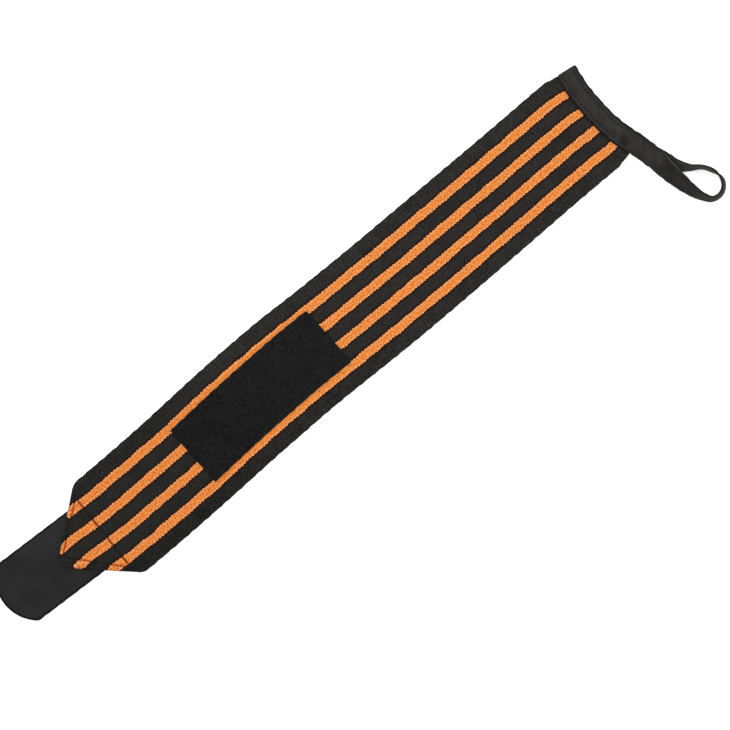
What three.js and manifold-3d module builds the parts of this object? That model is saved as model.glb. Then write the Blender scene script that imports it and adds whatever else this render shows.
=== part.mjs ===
// An elastic wrist wrap laid out flat, in millimetres: a woven band whose corners are folded under to a point,
// a hook tab sewn under that point, a loop patch on top of the band, and a narrow tape that crosses the band's
// square end on top, runs out as a twisted thumb loop and comes back across the end underneath.
// +X runs along the band towards the thumb loop, +Y across it and +Z up from the surface that it lies on.

import * as THREE from 'three';
import { mergeVertices } from 'three/addons/utils/BufferGeometryUtils.js';
import Module from 'manifold-3d';

const { clamp, degToRad, lerp, smoothstep } = THREE.MathUtils;
const wasm = await Module();
wasm.setup();

// Thickness of each cloth, and the air left between two layers that are sewn together
const BAND_THICKNESS = 1.7;
const FLAP_THICKNESS = 1.3;
const TAB_THICKNESS = 1.6;
const PATCH_THICKNESS = 1.8;
const TAPE_THICKNESS = 1.5;
const LAYER_GAP = 0.3;

// The band's middle line and width, one row for each section from the folded point to the square end
const BAND_SECTIONS = [
  { x: -240, middle: -3.1, width: 75.6 },
  { x: -192, middle: -3.0, width: 75.6 },
  { x: -165, middle: -2.75, width: 75.5 },
  { x: -139, middle: -2.1, width: 75.6 },
  { x: -112, middle: -1.0, width: 76.2 },
  { x: -85, middle: 0.15, width: 76.3 },
  { x: -59, middle: 0.85, width: 76.3 },
  { x: -32, middle: 1.2, width: 76.0 },
  { x: -5, middle: 0.6, width: 75.7 },
  { x: 21, middle: 0.0, width: 75.6 },
  { x: 48, middle: -0.2, width: 75.3 },
  { x: 88, middle: 0.0, width: 75.2 },
  { x: 128, middle: 0.4, width: 74.5 },
  { x: 155, middle: 0.8, width: 74.1 },
  { x: 181, middle: 1.2, width: 74.2 },
  { x: 208, middle: 1.5, width: 74.4 },
  { x: 216, middle: 1.4, width: 74.2 },
  { x: 222, middle: 1.25, width: 72.1 },
  { x: 228, middle: 1.4, width: 69.8 },
  { x: 233, middle: 1.5, width: 69.4 },
];
const BAND_END = 232.4;
const BAND_COLUMNS = 10;

// How far apart the band's sections stand, from the point to the square end
const SECTION_SPACING = [
  { to: -189, step: 3 },
  { to: -165, step: 4 },
  { to: 208, step: 12.5 },
  { to: BAND_END, step: 3 },
];

// The point: two fold lines from the shoulders to an apex, which is rounded off
const FOLD_APEX = new THREE.Vector2(-240.7, -1.1);
const SHOULDER_X = { upper: -196.9, lower: -198.4 };
const SHOULDER_ROUNDING = 3;
const TIP_RADIUS = 7.5;
const TIP_ANGLES = [14, 28, 42];

// The corners folded under meet along a line and are joined to the band in a narrow rim at the fold
const FLAP_MEETING_Y = -1.5;
const FLAP_HALF_GAP = 0.5;
const FLAP_START = -235.6;
const FLAP_END_MARGIN = 2.5;
const FLAP_STEP = 3;
const FLAP_COLUMNS = 6;
const FOLD_RIM = 1.5;
const FOLD_BITE = 0.6;
const FOLD_INSET = 0.15;

// The hook tab lies a little askew under the point
const TAB_WIDTH = 46.8;
const TAB_LENGTH = 84.7;
const TAB_END_RADIUS = 29.2;
const TAB_INNER_END = new THREE.Vector2(-199, -0.6);
const TAB_SKEW = degToRad(-2.6);
const TAB_ARC_STEPS = 20;

// The band rides up over the tab at one end and over the tape at the other, and sags on both sides of the tab
const TIP_LIFT = { height: TAB_THICKNESS + FLAP_THICKNESS + 2 * LAYER_GAP, from: -198, to: -168 };
const TIP_SAG = { depth: 1.4, from: 26, to: 36 };
const END_LIFT = { height: TAPE_THICKNESS + LAYER_GAP, from: 208, to: 219 };

// The loop patch follows the band's middle line, a little askew
const PATCH = { from: -124, to: -3.2, width: 45.5, startOffset: -0.5, endOffset: 0.9, step: 10 };

// The tape's middle line across the band's end, from its upper edge to its lower, and how far the layer underneath
// lies further out. Its outer edge is pinched shut.
const TAPE_WIDTH = 14.2;
const END_TAPE = [
  { x: 231.5, y: 36.3, under: 0 },
  { x: 229.4, y: 20.0, under: 0 },
  { x: 229.4, y: 6.0, under: 0 },
  { x: 230.2, y: -8.0, under: 0.4 },
  { x: 232.4, y: -21.0, under: 0.9 },
  { x: 235.6, y: -32.0, under: 1.0 },
];
const TAPE_PINCH = 0.8;
const TAPE_PINCH_FROM = 0.75;
const TAPE_COLUMNS = 4;
const TAPE_STEPS_PER_ROW = 4;

// The thumb loop, one row for each section. Tilt turns the tape from face up (0) over on edge (90) to face down
// (180), and low is the height of its lower edge.
const THUMB_LOOP = [
  { x: 239.3, y: -48.1, tilt: 19, low: 2.8 },
  { x: 240.4, y: -58.7, tilt: 34, low: 2.8 },
  { x: 242.0, y: -68.4, tilt: 48, low: 1.5 },
  { x: 244.5, y: -79.5, tilt: 64, low: 0.5 },
  { x: 247.6, y: -87.3, tilt: 76, low: 0.2 },
  { x: 251.2, y: -91.9, tilt: 80, low: 0.2 },
  { x: 257.2, y: -92.9, tilt: 78, low: 0.2 },
  { x: 262.2, y: -90.2, tilt: 77, low: 0.2 },
  { x: 264.8, y: -85.2, tilt: 78, low: 0.2 },
  { x: 263.6, y: -78.0, tilt: 92, low: 0.2 },
  { x: 259.6, y: -71.4, tilt: 95, low: 0.2 },
  { x: 252.5, y: -65.9, tilt: 104, low: 0.2 },
  { x: 248.2, y: -61.0, tilt: 119, low: 0.2 },
  { x: 243.9, y: -55.0, tilt: 151, low: 0.3 },
  { x: 240.0, y: -46.4, tilt: 169, low: 0.3 },
];

// A smooth function through one column of a table, against another column that rises from row to row
function curveThrough(rows, key, value) {
  const lastRow = rows.length - 1;
  const slopes = rows.map((row, n) => {
    const before = rows[Math.max(n - 1, 0)];
    const after = rows[Math.min(n + 1, lastRow)];
    return (after[value] - before[value]) / (after[key] - before[key]);
  });
  return (at) => {
    let n = 0;
    while (n < lastRow - 1 && rows[n + 1][key] < at) n += 1;
    const span = rows[n + 1][key] - rows[n][key];
    const t = clamp((at - rows[n][key]) / span, 0, 1);
    const rise = t * t * (3 - 2 * t);
    const leaving = t * (1 - t) * (1 - t) * span * slopes[n];
    const arriving = t * t * (t - 1) * span * slopes[n + 1];
    return lerp(rows[n][value], rows[n + 1][value], rise) + leaving + arriving;
  };
}

// Evenly spaced values after from, up to and including to
function spread(from, to, step) {
  const count = Math.ceil((to - from) / step);
  return Array.from({ length: count }, (_, n) => lerp(from, to, (n + 1) / count));
}

// The smaller of two values, with the corner between them rounded off
function softMinimum(a, b, rounding) {
  const nearness = Math.max(rounding - Math.abs(a - b), 0) / rounding;
  return Math.min(a, b) - (nearness * nearness * rounding) / 4;
}

// A finely divided box bent to shape: place gives the point for each step along, share across, and upper or lower face
function bentBox(steps, columns, place) {
  const box = new THREE.BoxGeometry(1, 1, 1, steps, columns, 1);
  box.deleteAttribute('normal');
  box.deleteAttribute('uv');
  const geometry = mergeVertices(box);
  const position = geometry.getAttribute('position');
  for (let n = 0; n < position.count; n += 1) {
    const step = Math.round((position.getX(n) + 0.5) * steps);
    const column = Math.round((position.getY(n) + 0.5) * columns);
    const point = place(step, column / columns, position.getZ(n) > 0);
    position.setXYZ(n, point.x, point.y, point.z);
  }
  geometry.computeVertexNormals();
  return geometry;
}

// Booleans
function toSolid(geometry) {
  const vertProperties = geometry.getAttribute('position').array;
  const triVerts = new Uint32Array(geometry.getIndex().array);
  return new wasm.Manifold(new wasm.Mesh({ numProp: 3, vertProperties, triVerts }));
}

function toGeometry(solid) {
  const mesh = solid.getMesh();
  const geometry = new THREE.BufferGeometry();
  geometry.setAttribute('position', new THREE.BufferAttribute(mesh.vertProperties, mesh.numProp));
  geometry.setIndex(new THREE.BufferAttribute(mesh.triVerts, 1));
  geometry.computeVertexNormals();
  return geometry;
}

// Outline of the band, where side is 1 for its upper edge and -1 for its lower edge
const bandMiddle = curveThrough(BAND_SECTIONS, 'x', 'middle');
const bandWidth = curveThrough(BAND_SECTIONS, 'x', 'width');

function foldLine(side) {
  const x = side > 0 ? SHOULDER_X.upper : SHOULDER_X.lower;
  const shoulder = new THREE.Vector2(x, bandMiddle(x) + (side * bandWidth(x)) / 2);
  const direction = shoulder.clone().sub(FOLD_APEX).normalize();
  return { shoulder, direction };
}

const upperFold = foldLine(1);
const lowerFold = foldLine(-1);
const pointAxis = upperFold.direction.clone().add(lowerFold.direction).normalize();
const pointHalfAngle = pointAxis.angleTo(upperFold.direction);
const tipCentre = pointAxis.multiplyScalar(TIP_RADIUS / Math.sin(pointHalfAngle)).add(FOLD_APEX);

function bandEdge(x, side) {
  const { direction } = side > 0 ? upperFold : lowerFold;
  const tangentX = tipCentre.x - TIP_RADIUS * Math.abs(direction.y);
  if (x < tangentX) {
    return tipCentre.y + side * Math.sqrt(TIP_RADIUS ** 2 - (x - tipCentre.x) ** 2);
  }
  const straight = bandMiddle(x) + (side * bandWidth(x)) / 2;
  const folded = FOLD_APEX.y + ((x - FOLD_APEX.x) * direction.y) / direction.x;
  return side * softMinimum(side * straight, side * folded, SHOULDER_ROUNDING);
}

// Height of the band's lower face above the surface
function bandUnderside(x, y) {
  const tabMiddle = TAB_INNER_END.y + (x - TAB_INNER_END.x) * Math.tan(TAB_SKEW);
  const overTab = 1 - smoothstep(x, TIP_LIFT.from, TIP_LIFT.to);
  const beside = smoothstep(Math.abs(y - tabMiddle), TIP_SAG.from, TIP_SAG.to);
  const overTape = smoothstep(x, END_LIFT.from, END_LIFT.to);
  return overTab * (TIP_LIFT.height - beside * TIP_SAG.depth) + overTape * END_LIFT.height;
}

function bandStations() {
  const stations = TIP_ANGLES.map((angle) => tipCentre.x - TIP_RADIUS * Math.cos(degToRad(angle)));
  for (const { to, step } of SECTION_SPACING) {
    stations.push(...spread(stations.at(-1), to, step));
  }
  return stations;
}

function bandSheet() {
  const stations = bandStations();
  return bentBox(stations.length - 1, BAND_COLUMNS, (step, across, isTop) => {
    const x = stations[step];
    const y = lerp(bandEdge(x, -1), bandEdge(x, 1), across);
    return new THREE.Vector3(x, y, bandUnderside(x, y) + (isTop ? BAND_THICKNESS : 0));
  });
}

// A corner of the band folded under: it ends at the meeting line and where the band's side edge comes to lie
function cornerFlap(side) {
  const { shoulder, direction } = side > 0 ? upperFold : lowerFold;
  const foldedEdgeSlope = (2 * direction.x * direction.y) / (2 * direction.x ** 2 - 1);
  const stations = [FLAP_START, ...spread(FLAP_START, shoulder.x - FLAP_END_MARGIN, FLAP_STEP)];
  return bentBox(stations.length - 1, FLAP_COLUMNS, (step, across, isTop) => {
    const x = stations[step];
    const meeting = side * FLAP_MEETING_Y + FLAP_HALF_GAP;
    const foldedEdge = side * (shoulder.y + (x - shoulder.x) * foldedEdgeSlope);
    const inner = Math.max(meeting, foldedEdge);
    const outer = side * bandEdge(x, side) - FOLD_INSET;
    const share = side > 0 ? across : 1 - across;
    const isFold = share === 1;
    const flatShare = (share * FLAP_COLUMNS) / (FLAP_COLUMNS - 1);
    const y = side * (isFold ? outer : lerp(inner, outer - FOLD_RIM, flatShare));
    const topOffset = isFold ? FOLD_BITE : -LAYER_GAP;
    const bottomOffset = -LAYER_GAP - FLAP_THICKNESS;
    return new THREE.Vector3(x, y, bandUnderside(x, y) + (isTop ? topOffset : bottomOffset));
  });
}

function elasticBand() {
  return toGeometry(toSolid(bandSheet()).add(toSolid(cornerFlap(1))).add(toSolid(cornerFlap(-1))));
}

// A flat tab with a round end, drawn with its inner end at the origin
function hookTab() {
  const half = TAB_WIDTH / 2;
  const arcAngle = Math.asin(half / TAB_END_RADIUS);
  const arcCentre = TAB_END_RADIUS - TAB_LENGTH;
  const cornerX = arcCentre - TAB_END_RADIUS * Math.cos(arcAngle);
  const shape = new THREE.Shape();
  shape.moveTo(0, -half);
  shape.lineTo(0, half);
  shape.lineTo(cornerX, half);
  shape.absarc(arcCentre, 0, TAB_END_RADIUS, Math.PI - arcAngle, Math.PI + arcAngle, false);
  shape.closePath();
  const options = { depth: TAB_THICKNESS, bevelEnabled: false, curveSegments: TAB_ARC_STEPS };
  return new THREE.ExtrudeGeometry(shape, options);
}

// A patch that lies on the flat of the band, drawn on the surface
function loopPatch() {
  const stations = [PATCH.from, ...spread(PATCH.from, PATCH.to, PATCH.step)];
  const edge = (side) => stations.map((x) => {
    const share = (x - PATCH.from) / (PATCH.to - PATCH.from);
    const middle = bandMiddle(x) + lerp(PATCH.startOffset, PATCH.endOffset, share);
    return new THREE.Vector2(x, middle + (side * PATCH.width) / 2);
  });
  const shape = new THREE.Shape([...edge(-1), ...edge(1).reverse()]);
  return new THREE.ExtrudeGeometry(shape, { depth: PATCH_THICKNESS, bevelEnabled: false });
}

// The whole tape: across the end on top, round the thumb loop, and back across the end underneath
function tapeRows() {
  const topLow = END_LIFT.height + BAND_THICKNESS + LAYER_GAP;
  const onTop = END_TAPE.map(({ x, y }) => ({ x, y, tilt: 0, low: topLow, pinch: TAPE_PINCH }));
  const loop = THUMB_LOOP.map((row) => ({ ...row, pinch: 0 }));
  const underneath = END_TAPE.map(({ x, y, under }) => ({ x: x + under, y, tilt: 180, low: 0, pinch: TAPE_PINCH }));
  return [...onTop, ...loop, ...underneath.reverse()].map((row, at) => ({ ...row, at }));
}

function tapeHeight({ tilt, low }) {
  const angle = degToRad(tilt);
  return low + (TAPE_WIDTH * Math.abs(Math.sin(angle)) + TAPE_THICKNESS * Math.abs(Math.cos(angle))) / 2;
}

function thumbLoop() {
  const rows = tapeRows();
  const route = new THREE.CatmullRomCurve3(rows.map((row) => new THREE.Vector3(row.x, row.y, tapeHeight(row))));
  const tiltAt = curveThrough(rows, 'at', 'tilt');
  const pinchAt = curveThrough(rows, 'at', 'pinch');
  const steps = (rows.length - 1) * TAPE_STEPS_PER_ROW;
  const up = new THREE.Vector3(0, 0, 1);
  return bentBox(steps, TAPE_COLUMNS, (step, across, isTop) => {
    const at = step / TAPE_STEPS_PER_ROW;
    const heading = route.getTangent(step / steps);
    const tilt = degToRad(tiltAt(at));
    const level = new THREE.Vector3().crossVectors(up, heading).normalize();
    const raised = new THREE.Vector3().crossVectors(heading, level);
    const sideways = level.multiplyScalar(Math.cos(tilt)).addScaledVector(raised, Math.sin(tilt));
    const outward = new THREE.Vector3().crossVectors(heading, sideways);
    const pinched = pinchAt(at) * smoothstep(across, TAPE_PINCH_FROM, 1);
    const height = (isTop ? 0.5 : -0.5) * TAPE_THICKNESS - pinched;
    const point = route.getPoint(step / steps).addScaledVector(outward, height);
    point.addScaledVector(sideways, (across - 0.5) * TAPE_WIDTH);
    point.z = Math.max(point.z, 0);
    return point;
  });
}

// The assembly
const wrap = new THREE.Group();

function addPiece(name, geometry, color, roughness) {
  const piece = new THREE.Mesh(geometry, new THREE.MeshStandardMaterial({ color, roughness, metalness: 0 }));
  piece.name = name;
  wrap.add(piece);
  return piece;
}

addPiece('elastic_band', elasticBand(), 0x2e2d2c, 0.9);
const tab = addPiece('hook_tab', hookTab(), 0x2a2a2a, 0.8);
tab.position.set(TAB_INNER_END.x, TAB_INNER_END.y, 0);
tab.rotation.z = TAB_SKEW;
const patch = addPiece('loop_patch', loopPatch(), 0x1e1e1e, 1);
patch.position.z = BAND_THICKNESS + LAYER_GAP;
addPiece('thumb_loop', thumbLoop(), 0x353433, 0.8);

export default wrap;
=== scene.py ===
"""Looks of an elastic wrist wrap laid out flat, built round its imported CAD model.

A woven band with four lengthwise stripes has its corners folded under to a point at one end, with a
hook tab sewn below them. A loop patch is sewn on top of the band, and a narrow tape crosses the band's
square end and runs out as a twisted thumb loop. Lengths are in metres in the CAD model's frame: +X runs
along the band to the thumb loop, +Y across it and +Z up.
"""

import math
from contextlib import contextmanager

import bpy
import numpy as np
from bpy.props import FloatProperty, FloatVectorProperty, PointerProperty
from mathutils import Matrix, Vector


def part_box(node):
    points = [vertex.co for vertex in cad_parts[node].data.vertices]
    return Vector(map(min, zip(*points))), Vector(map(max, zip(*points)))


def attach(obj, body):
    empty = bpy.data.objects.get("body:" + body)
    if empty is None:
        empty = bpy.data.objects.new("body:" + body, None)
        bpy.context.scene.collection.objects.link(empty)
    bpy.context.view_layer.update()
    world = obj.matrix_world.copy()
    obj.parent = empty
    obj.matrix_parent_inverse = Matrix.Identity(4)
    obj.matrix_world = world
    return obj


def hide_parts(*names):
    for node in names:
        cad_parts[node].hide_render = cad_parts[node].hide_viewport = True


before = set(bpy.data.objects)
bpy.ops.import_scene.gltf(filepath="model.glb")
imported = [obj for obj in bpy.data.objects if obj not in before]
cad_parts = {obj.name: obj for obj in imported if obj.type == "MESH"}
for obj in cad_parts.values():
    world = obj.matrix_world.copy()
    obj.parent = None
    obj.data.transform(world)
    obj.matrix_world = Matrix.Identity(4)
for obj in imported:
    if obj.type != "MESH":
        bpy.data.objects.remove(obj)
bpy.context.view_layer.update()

bl_info = {
    "name": "Wrist wrap",
    "version": (1, 0, 0),
    "blender": (4, 5, 0),
    "location": "View3D > Sidebar > Wrist wrap",
    "description": "Makes an elastic wrist wrap with a hook tab, a loop patch and a thumb loop",
    "category": "Add Mesh",
}

MM = 0.001
TAU = 2 * math.pi
UP = np.array((0.0, 0.0, 1.0))
BODY = "root"

# Thickness of each cloth, and the air between two layers that are sewn together
BAND_THICKNESS = 1.7 * MM
FLAP_THICKNESS = 1.3 * MM
TAB_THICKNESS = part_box("hook_tab")[1].z
TAPE_THICKNESS = 1.5 * MM
LAYER_GAP = 0.3 * MM

# The band's middle line and width in millimetres, in sections from the folded point to the square end
SECTION_X, SECTION_MIDDLE, SECTION_WIDTH = MM * np.array([
    (-240, -3.1, 75.9),
    (-192, -3.0, 75.9),
    (-165, -2.7, 76.1),
    (-139, -2.1, 76.1),
    (-112, -1.0, 76.5),
    (-85, 0.2, 76.7),
    (-59, 0.85, 76.7),
    (-32, 1.2, 76.4),
    (-5, 0.6, 75.8),
    (21, 0.1, 75.9),
    (48, -0.15, 75.9),
    (88, 0.12, 75.7),
    (128, 0.5, 75.2),
    (155, 0.85, 74.8),
    (181, 1.25, 74.6),
    (208, 1.55, 74.8),
    (216, 1.45, 74.5),
    (222, 1.25, 72.1),
    (228, 1.4, 69.8),
    (233, 1.5, 69.4),
]).T
WOVEN_WIDTH = 76 * MM
BAND_END = 232.4 * MM

# Edges: the rounded corners of the square end, how far inside an edge its thickness is read, the lengths of
# the waves in which woven edges wander, and where a stripe's edge rises
END_CORNER = 0.7 * MM
END_CORNER_X = (226 * MM, BAND_END)
EDGE_INSET = 0.7 * MM
EDGE_WANDER_LENGTHS = (9.7 * MM, 5.9 * MM)
STRIPE_SLOPE = (-0.2 * MM, 0.5 * MM)

# The point: two fold lines from the shoulders to a rounded apex, and the flaps that are folded under. Side 1
# is upper and -1 is lower.
FOLD_APEX = MM * np.array((-240.7, -1.1))
SHOULDER_X = {1: -196.9 * MM, -1: -198.4 * MM}
SHOULDER_ROUNDING = 3 * MM
POINT_END_X = (SHOULDER_X[-1] - 3 * MM, SHOULDER_X[1] + 2 * MM)
TIP_RADIUS = 7.5 * MM
TIP_ANGLES = np.radians(np.arange(5, 50, 5))
FLAP_MEETING_Y = -1.5 * MM
FLAP_HALF_GAP = 0.5 * MM
FLAP_END_MARGIN = 2.5 * MM
FLAP_END_SLOPE = 1.5 * MM
FLAP_EDGE = 0.6 * MM

# The hook tab lies a little askew under the point
TAB_WIDTH = 46.8 * MM
TAB_LENGTH = 84.7 * MM
TAB_END_RADIUS = 29.2 * MM
TAB_INNER_END = MM * np.array((-199, -0.6))
TAB_SKEW = math.radians(-2.6)
TAB_END_ANGLES = np.radians(np.arange(4, 62, 4))

# The band rides up over the tab at one end and the tape at the other, and sags on both sides of the tab
TIP_LIFT = TAB_THICKNESS + FLAP_THICKNESS + 2 * LAYER_GAP
TIP_LIFT_X = (-198 * MM, -168 * MM)
TIP_SAG = 1.4 * MM
TIP_SAG_Y = (26 * MM, 36 * MM)
END_LIFT = TAPE_THICKNESS + LAYER_GAP
END_LIFT_X = (208 * MM, 219 * MM)

# The loop patch follows the band's middle line, a little askew, and its ends lean
PATCH_FROM, PATCH_TO = -124 * MM, -3.2 * MM
PATCH_WIDTH = 45.5 * MM
PATCH_OFFSETS = (-0.5 * MM, 0.9 * MM)
PATCH_END_SKEW = 0.037
PATCH_LOW = BAND_THICKNESS + LAYER_GAP
PATCH_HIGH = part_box("loop_patch")[1].z

# The tape: its width, the pinch of its outer edge towards the band, and the rounding of its cut ends
TAPE_WIDTH = 14.2 * MM
TAPE_PINCH = 0.8 * MM
TAPE_PINCH_FROM = 0.75
TAPE_CORNER = 1.0 * MM

# The tape's middle line across the band's end in millimetres, and how much further out its lower run lies
END_TAPE_X, END_TAPE_Y, END_TAPE_UNDER = MM * np.array([
    (231.5, 36.3, 0.0),
    (229.4, 20.0, 0.0),
    (229.4, 6.0, 0.0),
    (230.2, -8.0, 0.4),
    (232.4, -21.0, 0.9),
    (235.6, -32.0, 1.0),
]).T

# The thumb loop: place and height of its lower edge in millimetres, and its tilt in degrees from face up
LOOP_X, LOOP_Y, LOOP_LOW, LOOP_TILT = np.array([
    (239.3, -48.1, 2.8, 19),
    (240.4, -58.7, 2.8, 34),
    (242.0, -68.4, 1.5, 48),
    (244.5, -79.5, 0.5, 64),
    (247.6, -87.3, 0.2, 76),
    (251.2, -91.9, 0.2, 80),
    (257.2, -92.9, 0.2, 78),
    (262.2, -90.2, 0.2, 77),
    (264.8, -85.2, 0.2, 78),
    (263.6, -78.0, 0.2, 92),
    (259.6, -71.4, 0.2, 95),
    (252.5, -65.9, 0.2, 104),
    (248.2, -61.0, 0.2, 119),
    (243.9, -55.0, 0.3, 151),
    (240.0, -46.4, 0.3, 169),
]).T * np.array([[MM], [MM], [MM], [1]])

# How far the stripes' middle lies from the band's, in millimetres along the band
DRIFT_X, DRIFT = MM * np.array([
    (-240, 1.4),
    (-220, 1.4),
    (-210, 0.75),
    (-198, 0.1),
    (-183, -0.15),
    (-147, -0.2),
    (-123, -0.5),
    (-105, -0.25),
    (-75, -0.15),
    (0, -0.3),
    (45, 0.0),
    (75, -0.2),
    (117, 0.0),
    (189, 0.1),
    (208, 0.0),
    (222, -0.5),
    (233, -0.6),
]).T

# Two rows of stitches hold the folds down and meet in a rounded corner, and a third row crosses the point
SEAM_CORNER = MM * np.array((-233.3, 1.85))
SEAM_WAY = {1: np.array((0.791, 0.612)), -1: np.array((0.664, -0.748))}
SEAM_OUT = {side: side * np.array((-way[1], way[0])) for side, way in SEAM_WAY.items()}
SEAM_ROUNDING = 4 * MM
SEAM_REACH = 55 * MM
SEAM_END_MARGIN = 2 * MM
CROSS_SEAM = MM * np.array([(-202.7, -29.6), (-201.6, 23.4)])
CROSS_SEAM_STARTS = (1.5 * MM, 2.5 * MM)
SEAM_HALF_WIDTH = 0.5 * MM
LEAST_RIM = 0.1 * MM

# The tape's outer and inner stitch rows, by their distance from its middle, and the tack that holds it
# where it leaves the band
TAPE_ROWS = (3.8 * MM, -4.5 * MM)
TAPE_ROW_DENT = 0.22 * MM
TAPE_ROW_HALF_WIDTH = 0.7 * MM
TAPE_ROWS_START, TAPE_ROWS_END = 2 * MM, 54 * MM
TACK_PLACE = 60.5 * MM
TACK_OFFSET = -2.2 * MM
TACK_LENGTH = 7 * MM
TACK_WIDTH = 4.6 * MM
TACK_TURNS = 6
TACK_WOBBLE = 0.6 * MM
TACK_WOBBLE_RATES = (2.3, 1.7)

# The point's stitches are sunk into the cloth. No stitch's middle lies nearer the floor than a share of the
# thread's thickness, and the patch's rows run a margin inside its edges.
FOLD_ROW_LIFT = -0.16 * MM
CROSS_ROW_LIFT = -0.1 * MM
STITCH_REST = 0.4
PATCH_ROW_MARGIN = 2 * MM

# Hooks and loops: how deep they are rooted, how far a hook bends, and how unlike each other they are
ROOT_DEPTH = 0.05 * MM
HOOK_BEND = math.radians(210)
HOOK_WOBBLE = 0.3
HOOK_WOBBLE_RATES = (7919, 5557)
LOOP_SCATTER = 0.3
LOOP_LEAN = 0.7
LOOP_SCALES = (0.75, 1.1)

# The stage: the floor, the place on it in the middle of the picture, the camera's sensor and the key light
FLOOR_SIZE = 40.0
FLOOR_DROP = 0.1 * MM
PICTURE_CENTRE = MM * np.array((3.03, -28.81))
SENSOR = 0.036
KEY_DIRECTION = (math.radians(-20), math.radians(-4), 0)
KEY_SPREAD = math.radians(30)

# How finely the cloths and the lines of their stitches are divided
STEPS_PER_RIB = 4
EDGE_STEPS = 4
END_FIRST_ANGLE = 0.2
BAND_COLUMNS = 74
BAND_BACK_COLUMNS = 26
PLAIN_STEP = 1.2 * MM
TAPE_STEP = 0.6 * MM
ROUTE_STEPS = 40
SEAM_POINTS = 160
CROSS_SEAM_POINTS = 60
PATCH_SIDE_POINTS = 80
PATCH_END_POINTS = 40
RANDOM_SEED = 11

# Bare borders on the bake maps, as shares of a strip and of a small model's tile
STRIP_BORDER = 0.02
TILE_BORDER = 0.05


# Colours and settings


def screen_colour(code):
    """A linear colour from the hex code that a screen shows it by."""
    channels = [int(code[n:n + 2], 16) / 255 for n in (0, 2, 4)]
    return tuple(c / 12.92 if c <= 0.04045 else ((c + 0.055) / 1.055) ** 2.4 for c in channels)


def length_setting(name, description, default):
    """A length that a user may change."""
    return FloatProperty(name=name, description=description, default=default, precision=5, unit="LENGTH")


def colour_setting(name, description, code):
    """A colour that a user may change."""
    default = screen_colour(code)
    return FloatVectorProperty(
        name=name, description=description, default=default, subtype="COLOR", min=0, max=1)


def share_setting(name, description, default):
    """A strength or a share that a user may change."""
    return FloatProperty(name=name, description=description, default=default)


class BandLook(bpy.types.PropertyGroup):
    """Weave and colours of the elastic band."""

    rib_pitch: length_setting("Rib pitch", "Distance between two cross ribs of the elastic", 2.5 * MM)
    rib_depth: length_setting("Rib depth", "Height of a cross rib", 0.14 * MM)
    stripe_spacing: length_setting("Stripe spacing", "Distance between two stripes' middles", 16 * MM)
    stripe_width: length_setting("Stripe width", "Width of a stripe at its bulges", 6.58 * MM)
    stripe_bulge: length_setting("Stripe bulge", "How far a stripe's edge swings between ribs", 0.55 * MM)
    stripe_rise: length_setting("Stripe rise", "How far the stripes stand proud", 0.1 * MM)
    selvedge_wave: length_setting("Selvedge wave", "How far the band's side edges wander", 0.26 * MM)
    rim_puff: length_setting("Rim puff", "How far a folded edge swells outside its stitches", 0.35 * MM)
    rim_pull: share_setting("Rim pull", "How far stitches drag stripes out, as a share of the rim", 0.33)
    seam_depth: length_setting("Seam depth", "How deep the stitches pull the cloth in", 0.4 * MM)
    ground: colour_setting("Ground", "Black yarn between the stripes", "34312F")
    ground_low: colour_setting("Ground shade", "Black yarn where it dips", "0F0E0D")
    ground_point: colour_setting("Ground by the point", "Black yarn towards the folded point", "2A2A29")
    ground_edge: colour_setting("Ground edge", "Black yarn along the band's side edges", "3E3B39")
    # Painted shade beside the stripes' raised edges, warmed by painted orange light from the stripes
    outline: colour_setting("Outline", "Black yarn that the stripes shine on", "291002")
    # Seam lines with painted shade in their grooves, a painted shadow beside the tape, and darker rounded
    # edges
    seam: colour_setting("Seam", "Yarn sunk in the seams, round the edges and beside the tape", "100704")
    stripe: colour_setting("Stripe", "Orange yarn", "EC8C39")
    stripe_low: colour_setting("Stripe shade", "Orange yarn where it dips", "A83A0C")
    # Pale flecks of orange yarn, and the painted highlight on the stripes' edges and bulges
    stripe_high: colour_setting("Stripe light", "Orange yarn on the bulges", "F0BE92")


class TabLook(bpy.types.PropertyGroup):
    """Weave, hooks and colours of the hook tab."""

    cloth_thickness: length_setting("Cloth thickness", "Thickness of the tab without its hooks", 0.8 * MM)
    yarn_pitch: length_setting("Yarn pitch", "Distance between two yarns of the plain weave", 0.7 * MM)
    edge_wave: length_setting("Edge wave", "How far the tab's side edges wander", 0.17 * MM)
    hook_spacing: length_setting("Hook spacing", "Distance between two hooks", 1.5 * MM)
    hook_radius: length_setting("Hook radius", "Radius of a hook's bend", 0.2 * MM)
    hook_thickness: length_setting("Hook thickness", "Thickness of a hook", 0.16 * MM)
    hook_margin: length_setting("Hook margin", "Bare border round the hooks", 1.6 * MM)
    cloth: colour_setting("Cloth", "Woven back of the tab", "292929")
    cloth_low: colour_setting("Cloth shade", "Woven back where a yarn dips, and along the border", "0E0E0E")
    lint: colour_setting("Lint", "Specks of lint on the woven back", "606060")
    hook: colour_setting("Hook", "Hooks of the lower face", "202020")


class PatchLook(bpy.types.PropertyGroup):
    """Pile and colours of the loop patch."""

    pile_height: length_setting("Pile height", "Height of the loops above the backing", 0.55 * MM)
    loop_spacing: length_setting("Loop spacing", "Distance between two loops of the pile", 0.95 * MM)
    loop_radius: length_setting("Loop radius", "Radius of one loop of the pile", 0.42 * MM)
    loop_thickness: length_setting("Loop thickness", "Thickness of one loop's yarn", 0.17 * MM)
    edge_wave: length_setting("Edge wave", "How far the patch's edges wander", 0.28 * MM)
    nap: colour_setting("Nap", "Napped face of the patch", "2A2929")
    nap_low: colour_setting("Nap shade", "Between the loops of the pile", "090909")


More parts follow.
